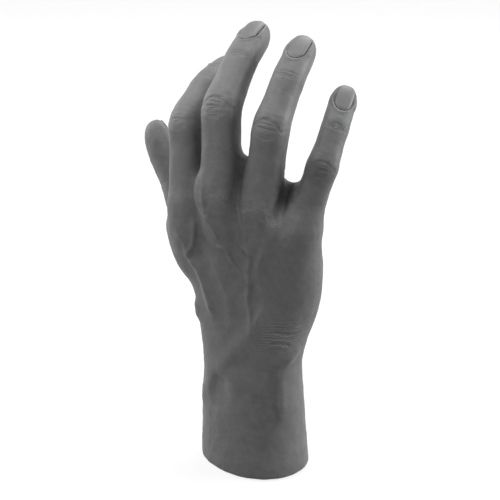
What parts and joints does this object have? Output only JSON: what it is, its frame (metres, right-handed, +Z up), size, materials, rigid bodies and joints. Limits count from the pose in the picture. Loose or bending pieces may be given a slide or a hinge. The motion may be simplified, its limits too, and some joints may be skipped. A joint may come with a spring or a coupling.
{
  "type": "posable display hand",
  "caption": "Life-size right hand of matte grey silicone skin over a jointed armature, standing upright on the flat cut of its forearm.",
  "frame": {"origin": "on the base plate's underside, in the flat cut of the forearm, below the wrist's middle", "axes": "+Z up along the forearm, -Y towards the back of the hand, +X towards the little finger"},
  "size_m": [0.1287, 0.074, 0.2345],
  "materials": {
    "skin": "matte moulded skin texture",
    "nail": "smooth matte",
    "armature": "machined",
    "pin": "ground",
    "screw": "plain",
    "plate": "sawn and deburred"
  },
  "bodies": {
    "palm": {"palm_skin": "skin", "wrist_block": "armature", "wrist_post": "armature", "base_plate": "plate", "base_screws": "screw", "index_metacarpal_rod": "armature", "index_base_pin": "pin", "middle_metacarpal_rod": "armature", "middle_base_pin": "pin", "ring_metacarpal_rod": "armature", "ring_base_pin": "pin", "little_metacarpal_rod": "armature", "little_base_pin": "pin", "thumb_metacarpal_rod": "armature", "thumb_base_pin": "pin"},
    "index_base": {"index_base_skin": "skin", "index_base_link": "armature", "index_mid_pin": "pin"},
    "index_mid": {"index_mid_skin": "skin", "index_mid_link": "armature", "index_tip_pin": "pin"},
    "index_tip": {"index_tip_skin": "skin", "index_tip_link": "armature", "index_nail": "nail"},
    "middle_base": {"middle_base_skin": "skin", "middle_base_link": "armature", "middle_mid_pin": "pin"},
    "middle_mid": {"middle_mid_skin": "skin", "middle_mid_link": "armature", "middle_tip_pin": "pin"},
    "middle_tip": {"middle_tip_skin": "skin", "middle_tip_link": "armature", "middle_nail": "nail"},
    "ring_base": {"ring_base_skin": "skin", "ring_base_link": "armature", "ring_mid_pin": "pin"},
    "ring_mid": {"ring_mid_skin": "skin", "ring_mid_link": "armature", "ring_tip_pin": "pin"},
    "ring_tip": {"ring_tip_skin": "skin", "ring_tip_link": "armature", "ring_nail": "nail"},
    "little_base": {"little_base_skin": "skin", "little_base_link": "armature", "little_mid_pin": "pin"},
    "little_mid": {"little_mid_skin": "skin", "little_mid_link": "armature", "little_tip_pin": "pin"},
    "little_tip": {"little_tip_skin": "skin", "little_tip_link": "armature", "little_nail": "nail"},
    "thumb_base": {"thumb_base_skin": "skin", "thumb_base_link": "armature", "thumb_tip_pin": "pin"},
    "thumb_tip": {"thumb_tip_skin": "skin", "thumb_tip_link": "armature", "thumb_nail": "nail"}
  },
  "joints": [
    {"name": "index_base_bend", "type": "hinge", "parent": "palm", "child": "index_base", "pos_m": [-0.033, -0.008, 0.145], "axis": [-0.9716, 0.1692, -0.1656], "range_deg": [-15, 20]},
    {"name": "index_mid_bend", "type": "hinge", "parent": "index_base", "child": "index_mid", "pos_m": [-0.0384, 0.00167, 0.18655], "axis": [-0.9716, 0.1692, -0.1656], "range_deg": [-44, 31]},
    {"name": "index_tip_bend", "type": "hinge", "parent": "index_mid", "child": "index_tip", "pos_m": [-0.03712, 0.02321, 0.20106], "axis": [-0.9716, 0.1692, -0.1656], "range_deg": [-19, 36]},
    {"name": "middle_base_bend", "type": "hinge", "parent": "palm", "child": "middle_base", "pos_m": [-0.013, -0.011, 0.153], "axis": [-0.9952, 0.0515, -0.0826], "range_deg": [-15, 20]},
    {"name": "middle_mid_bend", "type": "hinge", "parent": "middle_base", "child": "middle_mid", "pos_m": [-0.01635, -0.00253, 0.1986], "axis": [-0.9952, 0.0515, -0.0826], "range_deg": [-40, 35]},
    {"name": "middle_tip_bend", "type": "hinge", "parent": "middle_mid", "child": "middle_tip", "pos_m": [-0.01673, 0.02021, 0.21739], "axis": [-0.9952, 0.0515, -0.0826], "range_deg": [-11, 44]},
    {"name": "ring_base_bend", "type": "hinge", "parent": "palm", "child": "ring_base", "pos_m": [0.008, -0.006, 0.149], "axis": [-0.9928, -0.0696, 0.097], "range_deg": [-15, 20]},
    {"name": "ring_mid_bend", "type": "hinge", "parent": "ring_base", "child": "ring_mid", "pos_m": [0.01196, -0.003, 0.19171], "axis": [-0.9928, -0.0696, 0.097], "range_deg": [-39, 36]},
    {"name": "ring_tip_bend", "type": "hinge", "parent": "ring_mid", "child": "ring_tip", "pos_m": [0.01263, 0.01605, 0.21222], "axis": [-0.9928, -0.0696, 0.097], "range_deg": [-12, 43]},
    {"name": "little_base_bend", "type": "hinge", "parent": "palm", "child": "little_base", "pos_m": [0.0275, 0.002, 0.1395], "axis": [-0.8892, -0.3395, 0.3069], "range_deg": [-15, 20]},
    {"name": "little_mid_bend", "type": "hinge", "parent": "little_base", "child": "little_mid", "pos_m": [0.03708, 0.00614, 0.17186], "axis": [-0.8892, -0.3395, 0.3069], "range_deg": [-29, 46]},
    {"name": "little_tip_bend", "type": "hinge", "parent": "little_mid", "child": "little_tip", "pos_m": [0.03856, 0.0176, 0.18879], "axis": [-0.8892, -0.3395, 0.3069], "range_deg": [-16, 39]},
    {"name": "thumb_base_bend", "type": "hinge", "parent": "palm", "child": "thumb_base", "pos_m": [-0.046, 0.024, 0.111], "axis": [0.5748, -0.6651, 0.4768], "range_deg": [-12, 12]},
    {"name": "thumb_tip_bend", "type": "hinge", "parent": "thumb_base", "child": "thumb_tip", "pos_m": [-0.06248, 0.03198, 0.142], "axis": [0.5748, -0.6651, 0.4768], "range_deg": [-3, 30]}
  ]
}
